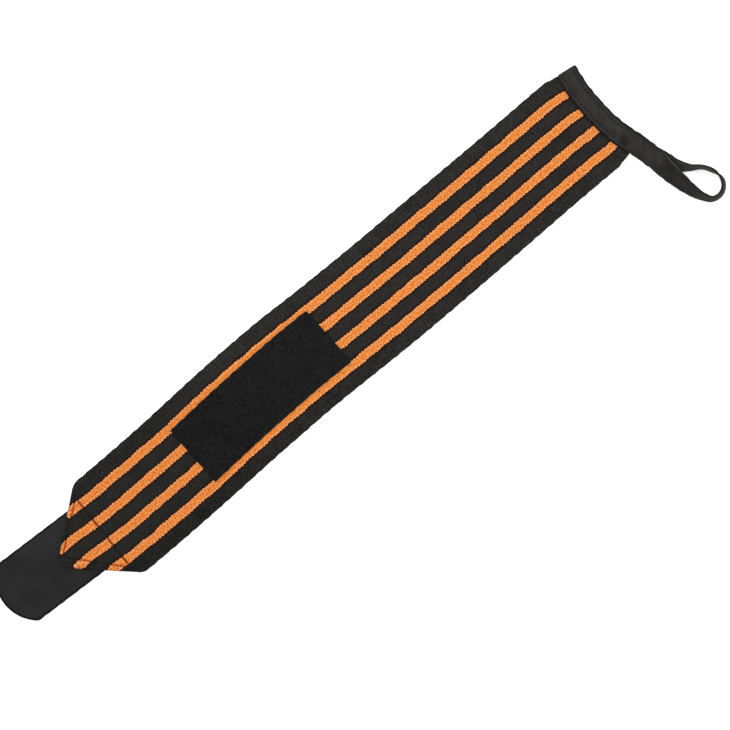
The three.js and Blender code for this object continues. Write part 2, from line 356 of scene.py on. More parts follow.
class TapeLook(bpy.types.PropertyGroup):
    """Weave and colours of the thumb loop's tape."""

    rib_pitch: length_setting("Rib pitch", "Distance between two cross ribs of the tape", 1.1 * MM)
    edge_wave: length_setting("Edge wave", "How far the tape's edges wander", 0.3 * MM)
    cloth: colour_setting("Cloth", "Ribbed face of the tape", "373533")
    cloth_low: colour_setting("Cloth shade", "Tape between its ribs and in its seams", "222120")
    # Painted highlight on the tape's ridge, crease and loop edge, and painted light on the loop's shaded
    # wedge
    edge: colour_setting("Edge", "Smooth edge of the tape", "5A5854")


class StitchLook(bpy.types.PropertyGroup):
    """Size and colour of the sewing thread."""

    length: length_setting("Stitch length", "Length of one stitch", 2.0 * MM)
    pitch: length_setting("Stitch pitch", "Distance between two stitches", 3.0 * MM)
    thickness: length_setting("Thread thickness", "Thickness of the thread", 0.36 * MM)
    thread: colour_setting("Thread", "Sewing thread", "22160E")
    thread_high: colour_setting("Thread light", "Sewing thread where it catches light", "281C13")
    tack: colour_setting("Tack", "Thread of the tack on the tape", "1B1B1A")
    tack_high: colour_setting("Tack light", "Thread of the tack where it catches light", "262625")


class StageLook(bpy.types.PropertyGroup):
    """Floor, light and camera."""

    camera_height: length_setting("Camera height", "Height of the camera above the floor", 2.4)
    frame_width: length_setting("Frame width", "Width of floor that the picture shows", 0.4867)
    camera_turn: FloatProperty(
        name="Camera turn", description="How far the picture is turned from the band",
        default=math.radians(-39.8), subtype="ANGLE")
    soft_light: share_setting("Soft light", "Strength of the light from all sides", 0.6)
    key_light: share_setting("Key light", "Strength of the light from above", 1.65)
    floor_glow: share_setting("Floor glow", "Light that the floor gives off", 0.55)
    floor: colour_setting("Floor", "Pale floor", "F8F8F8")


class WrapLook(bpy.types.PropertyGroup):
    """All settings of the wrist wrap."""

    band: PointerProperty(type=BandLook)
    tab: PointerProperty(type=TabLook)
    patch: PointerProperty(type=PatchLook)
    tape: PointerProperty(type=TapeLook)
    stitch: PointerProperty(type=StitchLook)
    stage: PointerProperty(type=StageLook)


# Curves and outlines


def ease(t):
    """A smooth rise from 0 to 1 while t goes from 0 to 1."""
    return t * t * (3 - 2 * t)


def smooth_step(value, low, high):
    """0 below low, 1 above high and a smooth rise between them."""
    return ease(np.clip((value - low) / (high - low), 0, 1))


def corner_cut(apart, rounding):
    """How much a rounded corner takes off where its two sides are some way apart."""
    nearness = np.maximum(rounding - np.abs(apart), 0) / rounding
    return nearness * nearness * rounding / 4


def soft_minimum(a, b, rounding):
    """The smaller of two values, with the corner between them rounded off."""
    return np.minimum(a, b) - corner_cut(a - b, rounding)


def unit(vectors):
    """The same directions at a length of 1."""
    return vectors / np.linalg.norm(vectors, axis=-1, keepdims=True)


def curve_through(keys, values, at):
    """A smooth curve through a table's values, read at some keys."""
    last = len(keys) - 1
    before = np.maximum(np.arange(last + 1) - 1, 0)
    after = np.minimum(np.arange(last + 1) + 1, last)
    slopes = (values[after] - values[before]) / (keys[after] - keys[before])
    row = np.clip(np.searchsorted(keys, at) - 1, 0, last - 1)
    span = keys[row + 1] - keys[row]
    t = np.clip((at - keys[row]) / span, 0, 1)
    rise = ease(t) * (values[row + 1] - values[row])
    leaving = t * (1 - t) ** 2 * span * slopes[row]
    arriving = t * t * (t - 1) * span * slopes[row + 1]
    return values[row] + rise + leaving + arriving


def route_through(points, at):
    """A centripetal curve through points, read at fractions of a row."""
    ends = [2 * points[0] - points[1], 2 * points[-1] - points[-2]]
    padded = np.vstack([ends[0], points, ends[1]])
    row = np.clip(at.astype(int), 0, len(points) - 2)
    t = (at - row)[:, None]
    p0, p1, p2, p3 = (padded[row + n] for n in range(4))
    steps = (p1 - p0, p2 - p1, p3 - p2)
    d0, d1, d2 = (np.sqrt(np.linalg.norm(step, axis=1))[:, None] for step in steps)
    leaving = p2 - p1 + d1 * ((p1 - p0) / d0 - (p2 - p0) / (d0 + d1))
    arriving = p2 - p1 + d1 * ((p3 - p2) / d2 - (p3 - p1) / (d1 + d2))
    rise = ease(t) * (p2 - p1)
    return p1 + rise + t * (1 - t) ** 2 * leaving + t * t * (t - 1) * arriving


def run_along(line):
    """The distance along a line of points, at each point."""
    return np.r_[0, np.cumsum(np.linalg.norm(np.diff(line, axis=0), axis=1))]


def read_between(where, keys, table):
    """A table's rows, read at some places between its keys."""
    return np.stack([np.interp(where, keys, column) for column in table.T], axis=-1)


def band_middle(x):
    """Where the band's middle line lies across."""
    return curve_through(SECTION_X, SECTION_MIDDLE, x)


def band_width(x):
    """How wide the band is."""
    return curve_through(SECTION_X, SECTION_WIDTH, x)


def shoulder(side):
    """Where a fold starts from the band's side edge."""
    x = SHOULDER_X[side]
    return np.array((x, band_middle(x) + side * band_width(x) / 2))


FOLD_WAY = {side: unit(shoulder(side) - FOLD_APEX) for side in (1, -1)}
FOLD_OUT = {side: side * np.array((-way[1], way[0])) for side, way in FOLD_WAY.items()}
POINT_AXIS = unit(FOLD_WAY[1] + FOLD_WAY[-1])
POINT_HALF_ANGLE = math.acos(POINT_AXIS @ FOLD_WAY[1])
TIP_CENTRE = FOLD_APEX + POINT_AXIS * TIP_RADIUS / math.sin(POINT_HALF_ANGLE)


def band_edge(x, side):
    """Where the band's outline lies across, on one side."""
    way = FOLD_WAY[side]
    straight = side * band_middle(x) + band_width(x) / 2
    folded = side * (FOLD_APEX[1] + (x - FOLD_APEX[0]) * way[1] / way[0])
    edge = soft_minimum(straight, folded, SHOULDER_ROUNDING)
    arc = side * TIP_CENTRE[1] + np.sqrt(np.maximum(TIP_RADIUS**2 - (x - TIP_CENTRE[0]) ** 2, 0))
    tip_ends = TIP_CENTRE[0] - TIP_RADIUS * abs(way[1])
    return side * np.where(x < tip_ends, arc, edge)


def fold_place(x, y):
    """How deep inside the nearest fold each place lies, the way out across it, and the place along it."""
    depth = np.full(np.shape(x), np.inf)
    out_x, out_y, along = np.zeros_like(depth), np.zeros_like(depth), np.zeros_like(depth)
    for side, out in FOLD_OUT.items():
        from_apex = x - FOLD_APEX[0], y - FOLD_APEX[1]
        inside = -(from_apex[0] * out[0] + from_apex[1] * out[1])
        nearer = inside < depth
        depth = np.where(nearer, inside, depth)
        out_x = np.where(nearer, out[0], out_x)
        out_y = np.where(nearer, out[1], out_y)
        along = np.where(nearer, from_apex[0] * FOLD_WAY[side][0] + from_apex[1] * FOLD_WAY[side][1], along)
    from_x, from_y = x - TIP_CENTRE[0], y - TIP_CENTRE[1]
    behind = [from_x * way[0] + from_y * way[1] < 0 for way in FOLD_WAY.values()]
    radius = np.maximum(np.hypot(from_x, from_y), 1e-9)
    in_tip = behind[0] & behind[1]
    depth = np.where(in_tip, TIP_RADIUS - radius, depth)
    out_x = np.where(in_tip, from_x / radius, out_x)
    out_y = np.where(in_tip, from_y / radius, out_y)
    return depth, out_x, out_y, along


def is_point(x):
    """1 on the folded point, 0 past the shoulders."""
    return 1 - smooth_step(x, *POINT_END_X)


def flap_cover(x, y):
    """1 where a corner folded under lies below the band, 0 elsewhere."""
    cover = np.zeros(np.shape(x))
    for side in (1, -1):
        corner, way = shoulder(side), FOLD_WAY[side]
        slope = 2 * way[0] * way[1] / (2 * way[0] ** 2 - 1)
        folded_edge = side * (corner[1] + (x - corner[0]) * slope)
        inner = np.maximum(side * FLAP_MEETING_Y + FLAP_HALF_GAP, folded_edge)
        reach = smooth_step(side * y - inner, 0, FLAP_EDGE)
        ends = corner[0] - FLAP_END_MARGIN
        cover = np.maximum(cover, reach * (1 - smooth_step(x, ends - FLAP_END_SLOPE, ends)))
    return cover


def band_underside(x, y):
    """Height of the band's lower face, without the corners folded under."""
    tab_middle = TAB_INNER_END[1] + (x - TAB_INNER_END[0]) * math.tan(TAB_SKEW)
    over_tab = 1 - smooth_step(x, *TIP_LIFT_X)
    beside = smooth_step(np.abs(y - tab_middle), *TIP_SAG_Y)
    return over_tab * (TIP_LIFT - beside * TIP_SAG) + smooth_step(x, *END_LIFT_X) * END_LIFT


# The band's weave and relief


def inside_seam(x, y):
    """How far inside the two rows along the folds a place lies. It is negative in the rim outside them."""
    inside = [-((x - SEAM_CORNER[0]) * out[0] + (y - SEAM_CORNER[1]) * out[1]) for out in SEAM_OUT.values()]
    return soft_minimum(*inside, SEAM_ROUNDING)


def seam_line():
    """Places along the two rows, from the upper shoulder round their corner to the lower shoulder."""
    apart = np.linspace(-SEAM_REACH, SEAM_REACH, SEAM_POINTS)
    nearest = corner_cut(apart, SEAM_ROUNDING)
    from_upper = (nearest + np.maximum(apart, 0))[:, None] / -(SEAM_WAY[-1] @ SEAM_OUT[1])
    from_lower = (nearest + np.maximum(-apart, 0))[:, None] / -(SEAM_WAY[1] @ SEAM_OUT[-1])
    line = SEAM_CORNER + from_lower * SEAM_WAY[1] + from_upper * SEAM_WAY[-1]
    return line[line[:, 0] < SHOULDER_X[-1] - SEAM_END_MARGIN]


def weave_place(x, y, is_top, look):
    """Where each place of the band lies on the flat cloth: along it, and across from its middle."""
    depth, out_x, out_y, _ = fold_place(x, y)
    outside = np.maximum(-inside_seam(x, y), 0)
    pulled = look.rim_pull * outside**2 / np.maximum(depth + outside, MM)
    folded_under = np.where(is_top, 0, flap_cover(x, y) * 2 * np.maximum(depth, 0))
    shift = (folded_under - pulled) * is_point(x)
    flat_x, flat_y = x + out_x * shift, y + out_y * shift
    across = (flat_y - band_middle(x) - curve_through(DRIFT_X, DRIFT, x)) * WOVEN_WIDTH / band_width(x)
    return flat_x, across


def stripe_share(across, look):
    """1 on the stripes, 0 between them."""
    half = look.stripe_spacing / 2
    away = np.abs(across)
    off_middle = np.abs((away % look.stripe_spacing) - half)
    inside = smooth_step(look.stripe_width / 2 - off_middle, *STRIPE_SLOPE)
    return inside * (away < 2 * look.stripe_spacing)


def past_cross_seam(x, y):
    """How far along the band a place lies past the stitches across the point."""
    (low_x, low_y), (high_x, high_y) = CROSS_SEAM
    return x - low_x - (y - low_y) / (high_y - low_y) * (high_x - low_x)


def seam_pull(x, y):
    """1 in the middle of the band's stitch lines, 0 away from them."""
    inside = inside_seam(x, y)
    fold = np.exp(-((inside / SEAM_HALF_WIDTH) ** 2)) * is_point(x)
    cross = np.exp(-((past_cross_seam(x, y) / SEAM_HALF_WIDTH) ** 2))
    return np.maximum(fold, 0.7 * cross * smooth_step(inside, *CROSS_SEAM_STARTS))


def band_relief(x, y, look):
    """Height that ribs, stripes, folds and stitches add to the band's upper face."""
    along, across = weave_place(x, y, True, look)
    stripes = stripe_share(across, look)
    ribs = 0.5 + 0.5 * np.cos(TAU * (along / look.rib_pitch + 0.5 * stripes))
    depth, _, _, fold_along = fold_place(x, y)
    outside = np.maximum(-inside_seam(x, y), 0)
    across_rim = np.clip(depth / (depth + outside + LEAST_RIM), 0, 1)
    swell = np.sin(np.pi * across_rim) * smooth_step(outside, 0, MM)
    swell = swell * (0.75 + 0.25 * np.cos(TAU * fold_along / look.rib_pitch)) * is_point(x)
    woven = look.rib_depth * ribs * (0.5 + 0.5 * stripes) + look.stripe_rise * stripes
    return woven + look.rim_puff * swell - look.seam_depth * seam_pull(x, y)


def band_faces(x, y, look):
    """Heights of the band's upper and lower faces."""
    underside = band_underside(x, y)
    upper = underside + BAND_THICKNESS + band_relief(x, y, look)
    along, _ = weave_place(x, y, False, look)
    ribs = look.rib_depth * (0.5 - 0.5 * np.cos(TAU * along / look.rib_pitch)) / 2
    return upper, underside + ribs - flap_cover(x, y) * (LAYER_GAP + FLAP_THICKNESS)


def selvedge_wander(along, side):
    """How a woven edge wanders along a cloth, about -1 to 1."""
    long_wave, short_wave = (TAU * along / length for length in EDGE_WANDER_LENGTHS)
    return (np.sin(long_wave + side) + 0.7 * np.sin(short_wave - 2 * side)) / 2


def selvedge(x, side, look):
    """How far the band's side edge stands out from its outline."""
    ribs = 0.25 * np.cos(TAU * x / look.rib_pitch)
    wave = look.selvedge_wave * (selvedge_wander(x, side) + ribs) * (1 - is_point(x))
    return wave - END_CORNER * smooth_step(x, *END_CORNER_X)


# Meshes


def add_object(name, mesh):
    """A new object for a mesh, at the origin, with smooth faces."""
    mesh.polygons.foreach_set("use_smooth", [True] * len(mesh.polygons))
    piece = bpy.data.objects.new(name, mesh)
    bpy.context.scene.collection.objects.link(piece)
    return piece


def cloth_ring(low, high, low_radius, high_radius, top_count, back_count):
    """Places round a flat cloth's sections, a row each: over the top from low to high and back underneath.

    Gives how far across each place lies, its rise (1 on the upper face, 0 on the edge, -1 on the lower
    face) and how many places the upper face has.
    """
    angles = np.linspace(0, np.pi / 2, EDGE_STEPS + 1)
    inset = 1 - np.cos(angles)

    def face(count):
        start, end = low + low_radius, high - high_radius
        flat = start[:, None] + np.outer(end - start, np.linspace(0, 1, count)[1:-1])
        low_edge = low[:, None] + np.outer(low_radius, inset)
        high_edge = high[:, None] - np.outer(high_radius, inset[::-1])
        rise = np.r_[np.sin(angles), np.ones(count - 2), np.sin(angles[::-1])]
        return np.hstack([low_edge, flat, high_edge]), rise

    top, top_rise = face(top_count)
    back, back_rise = face(back_count)
    across = np.hstack([top, back[:, -2:0:-1]])
    rise = np.r_[top_rise, -back_rise[-2:0:-1]]
    return across, np.broadcast_to(rise, across.shape), top.shape[1]


def bake_corners(along, girth, top_count, strips, back_scale):
    """Where each quad's corners lie on the bake map: strips of the upper face beside those of the lower."""
    around = len(girth) - 1
    section, place = np.meshgrid(np.arange(len(along) - 1), np.arange(around), indexing="ij")
    sections = np.stack([section, section + 1, section + 1, section], axis=-1)
    places = np.stack([place, place, place + 1, place + 1], axis=-1)
    is_back = (place >= top_count - 1)[..., None]
    strip_length = (along[-1] - along[0]) / strips
    middle = (along[:-1] + along[1:]) / 2 - along[0]
    strip = np.minimum((middle / strip_length).astype(int), strips - 1)[section][..., None]
    margin = strip_length * STRIP_BORDER
    top_girth = girth[top_count - 1]
    scale = np.where(is_back, back_scale, 1)
    u = (along[sections] - along[0] - strip * strip_length) * scale
    u = u + np.where(is_back, strip_length + margin, 0) + margin
    v = (girth[places] - np.where(is_back, top_girth, 0)) * scale
    v = v + strip * (top_girth + margin) + margin
    size = max((strip_length + margin) * (1 + back_scale) + margin, strips * (top_girth + margin) + margin)
    return np.stack([u, v], axis=-1).reshape(-1, 2) / size


def closed_cloth(name, places, weave, rise, top_count, strips, back_scale, **attributes):
    """A closed cloth from its sections, each a ring of places, with its maps and attributes."""
    sections, around = places.shape[:2]
    index = np.arange(sections * around).reshape(sections, around)
    here, beyond = index[:-1], index[1:]
    quads = np.stack([here, beyond, np.roll(beyond, -1, axis=1), np.roll(here, -1, axis=1)], axis=-1)
    caps = [index[0].tolist(), index[-1, ::-1].tolist()]
    mesh = bpy.data.meshes.new(name)
    mesh.from_pydata(places.reshape(-1, 3).tolist(), [], quads.reshape(-1, 4).tolist() + caps)
    corners = np.r_[quads.ravel(), index[0], index[-1, ::-1]]
    weave_map = mesh.uv_layers.new(name="Weave")
    weave_map.uv.foreach_set("vector", weave.reshape(-1, 2)[corners].ravel())
    middle = places[sections // 2]
    girth = run_along(np.vstack([middle, middle[:1]]))
    along = weave[:, around // 4, 0]
    baked = bake_corners(along, girth, top_count, strips, back_scale)
    bake_map = mesh.uv_layers.new(name="OFBake")
    bake_map.uv.foreach_set("vector", np.vstack([baked, np.ones((2 * around, 2))]).ravel())
    for attribute, values in {"Rim": 1 - np.abs(rise), **attributes}.items():
        add_attribute(mesh, attribute, values)
    mesh.update()
    return add_object(name, mesh)


def add_attribute(mesh, name, values):
    """A number at each vertex, for the material to read."""
    attribute = mesh.attributes.new(name, "FLOAT", "POINT")
    attribute.data.foreach_set("value", np.ascontiguousarray(values, np.float32).ravel())


@contextmanager
def editing():
    """Edit mode on the active object, with all of it selected, and a bake map once it is shaped."""
    bpy.ops.object.mode_set(mode="EDIT")
    bpy.ops.mesh.select_all(action="SELECT")
    yield
    bpy.ops.uv.smart_project(island_margin=STRIP_BORDER)
    bpy.ops.object.mode_set(mode="OBJECT")


def joined_copies(name, model, places, axes):
    """One mesh of many copies of a small model, each with its own place and axes. The model is removed."""
    mesh = model.data
    corners = np.array([vertex.co for vertex in mesh.vertices])
    faces = [np.array(polygon.vertices) for polygon in mesh.polygons]
    model_map = np.array([corner.vector for corner in mesh.uv_layers.active.uv])
    vertices = np.einsum("nij,kj->nki", axes, corners) + places[:, None]
    copies = [(face + n * len(corners)).tolist() for n in range(len(places)) for face in faces]
    joined = bpy.data.meshes.new(name)
    joined.from_pydata(vertices.reshape(-1, 3).tolist(), [], copies)
    tiles = math.ceil(math.sqrt(len(places)))
    tile = np.stack(np.divmod(np.arange(len(places)), tiles), axis=-1)
    bake_map = joined.uv_layers.new(name="OFBake")
    in_tile = TILE_BORDER + (1 - 2 * TILE_BORDER) * model_map
    bake_map.uv.foreach_set("vector", ((tile[:, None] + in_tile) / tiles).ravel())
    joined.update()
    bpy.data.objects.remove(model)
    bpy.data.meshes.remove(mesh)
    return add_object(name, joined)


def settle(piece, finish, node=None):
    """Gives a finished piece its material, attaches it to the body, and hides the CAD node that it stands
    for.
    """
    piece.data.materials.append(finish.material)
    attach(piece, BODY)
    if node:
        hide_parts(node)


# Shader maths


class Value:
    """A number in a material's nodes. Python's operators on it add Math nodes."""

    def __init__(self, finish, socket):
        self.finish = finish
        self.socket = socket

    def math(self, operation, *others):
        """A Math node on this number and others."""
        inputs = dict(enumerate((self, *others)))
        return self.finish.node("ShaderNodeMath", {"operation": operation}, inputs)

    def __add__(self, other):
        return self.math("ADD", other)

    __radd__ = __add__

    def __sub__(self, other):
        return self.math("SUBTRACT", other)

    def __rsub__(self, other):
        return self.finish.node("ShaderNodeMath", {"operation": "SUBTRACT"}, {0: other, 1: self})

    def __mul__(self, other):
        return self.math("MULTIPLY", other)

    def __truediv__(self, other):
        return self.math("DIVIDE", other)

    def __abs__(self):
        return self.math("ABSOLUTE")

    def wave(self):
        """0 to 1 and back, once for each whole step of the number, with 1 on whole numbers."""
        return (self * TAU).math("COSINE") * 0.5 + 0.5

    def near(self, place, reach):
        """1 at a place, falling smoothly to 0 at some reach on both sides of it."""
        return 1 - abs(self - place).rise(0, reach)

    def rise(self, low, high):
        """0 below low, 1 above high and a smooth rise between them."""
        settings = {"interpolation_type": "SMOOTHSTEP"}
        return self.finish.node("ShaderNodeMapRange", settings, {"Value": self, 1: low, 2: high})


class Finish:
    """A material with its node tree."""

    def __init__(self, name, roughness, gloss):
        self.material = bpy.data.materials.new(name)
        self.material.use_nodes = True
        self.tree = self.material.node_tree
        self.shader = self.tree.nodes["Principled BSDF"]
        self.shader.inputs["Roughness"].default_value = roughness
        self.shader.inputs["Specular IOR Level"].default_value = gloss

    def node(self, kind, settings, inputs, output=0):
        """A node of any type, with its settings, and values or links for its sockets."""
        node = self.tree.nodes.new(kind)
        for name, value in settings.items():
            setattr(node, name, value)
        for name, value in inputs.items():
            self.feed(node.inputs[name], value)
        return Value(self, node.outputs[output])

    def feed(self, socket, value):
        """Links a number or colour to a socket, or sets a constant on it."""
        if isinstance(value, Value):
            self.tree.links.new(value.socket, socket)
        elif socket.type == "RGBA":
            socket.default_value = (*value, 1)
        else:
            socket.default_value = value

    def weave_place(self):
        """Where a place lies on the flat cloth: along it and across it, in metres."""
        place = self.node("ShaderNodeUVMap", {"uv_map": "Weave"}, {})
        return [self.node("ShaderNodeSeparateXYZ", {}, {0: place}, output=n) for n in range(2)]

    def attribute(self, name):
        """A number kept at the mesh's vertices."""
        return self.node("ShaderNodeAttribute", {"attribute_name": name}, {}, output="Fac")

    def speckle(self, along, across, pitch):
        """Random spots about a pitch apart: 0 in a spot's middle, more further off."""
        place = self.node("ShaderNodeCombineXYZ", {}, {0: along / pitch, 1: across / pitch})
        inputs = {"Vector": place, "Scale": 1.0}
        return self.node("ShaderNodeTexVoronoi", {"voronoi_dimensions": "2D"}, inputs)

    def noise(self, pitch, detail=2.0):
        """Cloudy noise in space, 0 to 1, with clouds about a pitch across."""
        place = self.node("ShaderNodeTexCoord", {}, {}, output="Object")
        return self.node("ShaderNodeTexNoise", {}, {"Vector": place, "Scale": 1 / pitch, "Detail": detail})

    def by_point(self):
        """1 at the end of the patch by the folded point, falling to 0 at its other end."""
        place = self.node("ShaderNodeTexCoord", {}, {}, output="Object")
        return 1 - self.node("ShaderNodeSeparateXYZ", {}, {0: place}).rise(PATCH_FROM, PATCH_TO - 20 * MM)

    def mix(self, share, a, b):
        """A colour between a and b."""
        return self.node("ShaderNodeMix", {"data_type": "RGBA"}, {0: share, 6: a, 7: b}, output=2)

    def show(self, colour, height, depth):
        """Feeds the shader its colour, and a bump of some depth from a height between 0 and 1."""
        self.feed(self.shader.inputs["Base Color"], colour)
        bump = self.node("ShaderNodeBump", {}, {"Strength": 0.6, "Distance": depth, "Height": height})
        self.feed(self.shader.inputs["Normal"], bump)


def band_finish(look):
    """Black elastic with orange stripes whose edges bulge at each rib.

    Distances from the folds, the seams, the tape and a stripe's edge are in millimetres.
    """
    finish = Finish("striped_elastic", roughness=0.85, gloss=0.1)
    yarn_along, yarn_across, twill_across = 1.25 * MM, 1.1 * MM, 1.7 * MM
    dot_pitch, fleck_pitch = 1.45 * MM, 1.3 * MM
    along, across = finish.weave_place()
    fold_depth, fold_seam, cross_seam, tape_gap, rim = (
        finish.attribute(name) for name in ("FoldDepth", "FoldSeam", "CrossSeam", "TapeGap", "Rim"))
    on_point = 1 - along.rise(-201 * MM, -198 * MM)
    outside_seam = (1 - fold_seam.rise(-1.0, -0.2)) * on_point
    grain = finish.noise(MM, detail=3.0)
    sway = finish.noise(4 * MM)
    cloud = finish.noise(11 * MM)
    across = across + ((finish.noise(13 * MM) - 0.5) * 0.8 + (finish.noise(6.5 * MM) - 0.5) * 1.3) * MM
    bulge = ((along + (sway - 0.5) * 1.6 * MM) / look.rib_pitch).wave()
    half = look.stripe_spacing / 2
    away = abs(across)
    off_middle = half - away.math("PINGPONG", half)
    edge = look.stripe_width / 2 - look.stripe_bulge + bulge * (sway * 2.2 - 0.35) * look.stripe_bulge
    inside = (edge - off_middle) / MM - (1 - fold_depth.rise(0, 1.8)) * 1.2
    inside = inside.math("MINIMUM", tape_gap - 0.9)
    woven = away.math("LESS_THAN", 2 * look.stripe_spacing)
    stripe = inside.rise(-0.12, 0.12) * woven
    # Painted shade in a band just outside each stripe's edge
    outline = inside.rise(-2.0, -0.9) * woven
    yarn = (along / yarn_along).wave() * (across / yarn_across).wave()
    dots = 1 - finish.speckle(along, across, dot_pitch).rise(0.12, 0.45)
    flecks = 1 - finish.speckle(along + 7 * MM, across, fleck_pitch).rise(0.1, 0.4)
    tips = (1 - inside.rise(0.3, 1.2)) * bulge.rise(0.3, 0.9) * grain.rise(0.35, 0.6)
    twill = (along / yarn_along + across / twill_across).wave()
    orange = finish.mix(dots * (0.72 + outside_seam * 0.28), look.stripe, look.stripe_low)
    # pale: painted highlight just inside each stripe's edge and on the bulges' tips, with pale flecks of
    # yarn
    pale = inside.near(0.7, 0.9) * 0.2 + tips * 0.4 + flecks * (1 - dots) * (0.4 + outside_seam * 0.4)
    orange = finish.mix(pale, orange, look.stripe_high)
    by_point = (1 - along.rise(-135 * MM, -55 * MM)) * 0.85
    # fold_line and cross_line darken the stitch lines: the seams' own dark line, with painted shade in their
    # grooves
    fold_line = fold_seam.near(0, 0.9) * on_point
    cross_line = cross_seam.near(0, 1.2) * fold_seam.rise(1.5, 2.5)
    orange = finish.mix(by_point * 0.12 + (fold_line + cross_line) * 0.8, orange, look.stripe_low)
    at_side = away.rise(28.5 * MM, 31 * MM)
    black = finish.mix(at_side * 0.6, look.ground, look.ground_edge)
    black = finish.mix(by_point, black, look.ground_point)
    low_side = (1 - across.rise(-36 * MM, -4 * MM)) * (1 - along.rise(-10 * MM, 40 * MM) * 0.8)
    # (1 - bulge) * at_side paints shade in the rib hollows along the band's sides
    ribbed = (1 - bulge) * at_side * 0.2 + low_side * 0.14
    dips = twill * 0.2 + (1 - grain).rise(0.3, 0.7) * 0.6 + (cloud - 0.5) * 0.5 + ribbed
    dips = dips + outside_seam * 0.15
    black = finish.mix(dips, black, look.ground_low)
    black = finish.mix(outline * 0.9, black, look.outline)
    colour = finish.mix(stripe, black, orange)
    # by_tape is a painted shadow on the band beside the tape's edge; rim darkens the band's rounded edges
    by_tape = tape_gap.near(0.4, 2.2) * (1 - across.rise(24 * MM, 34 * MM) * 0.5)
    shaded = fold_line * (0.4 - stripe * 0.1) + cross_line * (0.5 + stripe * 0.2) + rim * 0.6 + by_tape * 0.6
    colour = finish.mix(shaded, colour, look.seam)
    finish.show(colour, yarn * 0.5 + twill * 0.25 * (1 - stripe) + stripe * 0.4 + bulge * 0.3, 0.25 * MM)
    return finish


def tab_finish(look):
    """Plain-woven black back of a hook tape, darker along its border."""
    finish = Finish("hook_tape_cloth", roughness=0.75, gloss=0.12)
    along, across = finish.weave_place()
    warp = (across / look.yarn_pitch).wave()
    weft = (along / look.yarn_pitch).wave()
    yarn = warp * weft + (1 - warp) * (1 - weft)
    cloud = finish.noise(14 * MM, detail=5.0)
    mottle = finish.noise(1.6 * MM)
    lint = finish.noise(1.9 * MM, detail=1.0).rise(0.72, 0.8)
    # Painted sheen: lighter towards the tab's upper side and its inner end, where the mottle grows stronger
    # too
    painted_sheen = (across / MM).rise(2, 22) * (along / MM).rise(-75, -35) * 0.4
    border = 1 - finish.attribute("Border").rise(0.6, 2.2)
    shade = yarn * 0.2 + (cloud - 0.5) * 0.9 + (mottle - 0.5) * (0.5 + painted_sheen) + 0.22 - painted_sheen + border
    colour = finish.mix(shade, look.cloth, look.cloth_low)
    finish.show(finish.mix(lint * 0.4, colour, look.lint), 1 - yarn, 0.12 * MM)
    return finish


def nap_finish(look):
    """Matt black nap with darker hollows."""
    finish = Finish("loop_nap", roughness=1.0, gloss=0.08)
    tufts = 1 - finish.noise(0.9 * MM, detail=5.0).rise(0.35, 0.7)
    cloud = finish.noise(7 * MM)
    shade = tufts * 0.7 + (cloud - 0.5) * 0.5 + finish.by_point() * 0.12 - 0.02
    finish.show(finish.mix(shade, look.nap, look.nap_low), 1 - tufts, 0.4 * MM)
    return finish


def tape_finish(look, stitch, length):
    """Ribbed black tape, with needle holes where it is sewn down, a tack, and painted highlights on a crease
    and on the loop's edge.

    Distances from the tape's middle and from its nearer cut end are in millimetres.
    """
    finish = Finish("thumb_tape", roughness=0.8, gloss=0.09)
    along, across = finish.weave_place()
    across = across / MM
    face = finish.attribute("Face")
    rib = (along / look.rib_pitch).wave()
    thread = (across / 0.8).wave()
    cloud = finish.noise(2.5 * MM, detail=5.0)
    mottle = finish.noise(6 * MM)
    from_cut = along.math("MINIMUM", length - along) / MM
    sewn = 1 - from_cut.rise(52, 66)
    on_loop = from_cut.rise(84, 97)
    outer_row, inner_row = (row / MM for row in TAPE_ROWS)
    rows = across.near(outer_row, 1.0) + across.near(inner_row, 1.0)
    holes = (along / stitch.pitch).wave().rise(0.35, 0.8) * rows * (1 - from_cut.rise(53, 57))
    borders = abs(across).rise(5.7, 6.9)
    ridge = across.near(-5.8, 0.7) * sewn * from_cut.rise(4, 9)
    outer_border = across.rise(5.3, 6.3) * (1 - on_loop)
    leg = from_cut.near(76, 16)
    crease = (across - from_cut.rise(48, 62) * 3).near(1.4, 1.6) * from_cut.near(54, 11)
    loop_edge = across.rise(6.2, 6.9) * (along / MM).near(96, 16)
    wedge = ((length - along) / MM).near(114, 24) * (1 - face.rise(-0.9, 0))
    tack = from_cut.near(TACK_PLACE / MM, 5) * across.near(TACK_OFFSET / MM, 4.5)
    weave = (1 - rib) * 0.2 + thread * 0.1 + (0.5 - cloud) * 0.9 + (0.5 - mottle) * 1.3
    edges = abs(across).rise(0, 7) * 0.2 + borders * 0.35 + outer_border * 0.6
    # holes paints shade in the needle holes; tack darkens round the tack, partly its dark thread and partly
    # painted shade under it
    sewing = sewn * (rows * 0.15 + holes * 1.1 - 0.07) + tack * 1.2
    # face * 0.4 paints light and shade on the loop: its outer face darker, its inner face lighter
    shade = 0.17 + weave + edges + sewing + on_loop * (0.18 + face * 0.4) + leg * 0.14
    colour = finish.mix(shade, look.cloth, look.cloth_low)
    # Painted highlights on the ridge, the loop's edge and the crease, and painted light lifting the shaded
    # wedge between the loop's legs
    pale = ridge * 0.14 + loop_edge * 0.6 + wedge * 0.35 + crease * 0.18
    colour = finish.mix(pale, colour, look.edge)
    finish.show(colour, rib * 0.5 + thread * 0.2 + ridge * 0.5 - holes * sewn, 0.15 * MM)
    return finish


def small_finish(name, colour, shade, pitch, roughness, gloss, darker_by_point=0):
    """Thread, hooks or pile: one colour that wanders to a shade from copy to copy."""
    finish = Finish(name, roughness, gloss)
    cloud = finish.noise(pitch)
    share = cloud.rise(0.3, 0.7)
    if darker_by_point:
        share = share + finish.by_point() * darker_by_point
    finish.show(finish.mix(share, colour, shade), cloud, 0.05 * MM)
    return finish


# The cloths


